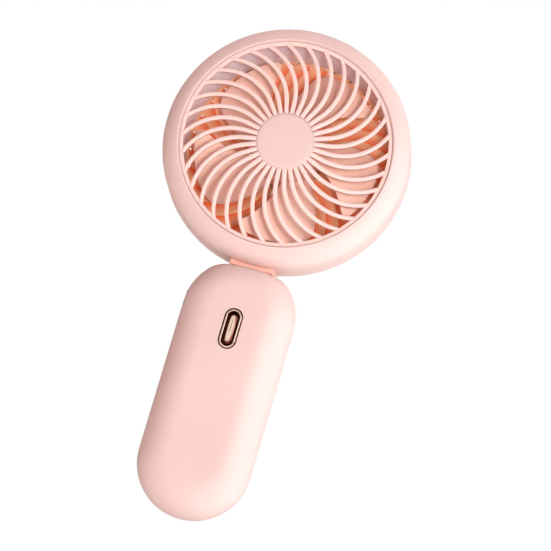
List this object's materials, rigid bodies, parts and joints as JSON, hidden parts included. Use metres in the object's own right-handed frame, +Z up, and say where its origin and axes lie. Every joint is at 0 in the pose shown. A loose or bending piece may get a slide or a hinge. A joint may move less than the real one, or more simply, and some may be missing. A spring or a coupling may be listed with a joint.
{
  "type": "handheld electric fan",
  "caption": "Handheld electric fan: round caged head with a domed swirl-rib grille, on a tilting neck over a pill-shaped grip with an oblong push button.",
  "frame": {"origin": "middle of the grip, halfway up the handle on its centre line", "axes": "+Z up the handle to the head; the air leaves towards -Y, so +Y is the back; +X is to the right seen from the front"},
  "size_m": [0.1, 0.0298, 0.2056],
  "materials": {
    "body_pink": "satin moulded plastic",
    "grille_pink": "satin moulded plastic",
    "rear_grille_pink": "satin moulded plastic",
    "impeller_salmon": "semi-gloss moulded plastic",
    "saddle_salmon": "satin moulded plastic",
    "cream_plastic": "satin moulded plastic",
    "rose_gold": "polished rose gold plating",
    "steel": "turned steel",
    "zinc_bracket": "die-cast, bead blasted",
    "brass_turned": "turned brass",
    "can_steel": "deep-drawn steel",
    "magnet_dark": "ground ferrite",
    "lamination": "stacked sheet steel",
    "copper_winding": "enamelled copper wire",
    "board_green": "solder mask",
    "black_plastic": "moulded plastic",
    "chip_ceramic": "fired ceramic",
    "battery_wrap": "heat-shrink film",
    "foam_dark": "closed-cell foam",
    "lead_red": "insulated wire",
    "lead_black": "insulated wire",
    "plunger_white": "moulded plastic"
  },
  "bodies": {
    "handle": {"handle_front_shell": "body_pink", "handle_rear_shell": "body_pink", "neck_saddle": "saddle_salmon", "hinge_caps": "cream_plastic", "button_bezel": "rose_gold", "handle_screws": "steel", "hinge_screws": "steel", "board_screws": "steel", "hinge_pin": "steel", "usb_shell": "steel", "hinge_base": "zinc_bracket", "hinge_washers": "brass_turned", "main_board": "board_green", "control_chip": "black_plastic", "tact_switch": "black_plastic", "usb_tongue": "black_plastic", "board_capacitors": "chip_ceramic", "battery_cell": "battery_wrap", "battery_pad": "foam_dark", "fan_leads": "lead_red", "battery_leads": "lead_black"},
    "head": {"head_front_shell": "body_pink", "head_rear_shell": "body_pink", "front_grille": "grille_pink", "grille_hub_cap": "body_pink", "rear_grille": "rear_grille_pink", "head_screws": "steel", "neck_bracket": "zinc_bracket", "bracket_screws": "steel", "bearing_tube": "brass_turned", "front_bearing": "steel", "rear_bearing": "steel", "stator_core": "lamination", "stator_coils": "copper_winding", "motor_board": "board_green", "motor_leads": "lead_red"},
    "rotor": {"impeller": "impeller_salmon", "rotor_can": "can_steel", "magnet_ring": "magnet_dark", "motor_shaft": "steel", "shaft_clip": "steel"},
    "button": {"power_button": "rose_gold", "switch_plunger": "plunger_white"}
  },
  "joints": [
    {"name": "head_tilt", "type": "hinge", "parent": "handle", "child": "head", "pos_m": [0, 0.0096, 0.0526], "axis": [-1, 0, 0], "range_deg": [0, 90]},
    {"name": "impeller_spin", "type": "hinge", "parent": "head", "child": "rotor", "pos_m": [0, 0, 0.1036], "axis": [0, 1, 0], "continuous": true},
    {"name": "button_press", "type": "slide", "parent": "handle", "child": "button", "axis": [0, 1, 0], "range_m": [0, 0.0005], "stiffness_N_per_m": 1000, "springref_m": -0.0015}
  ]
}
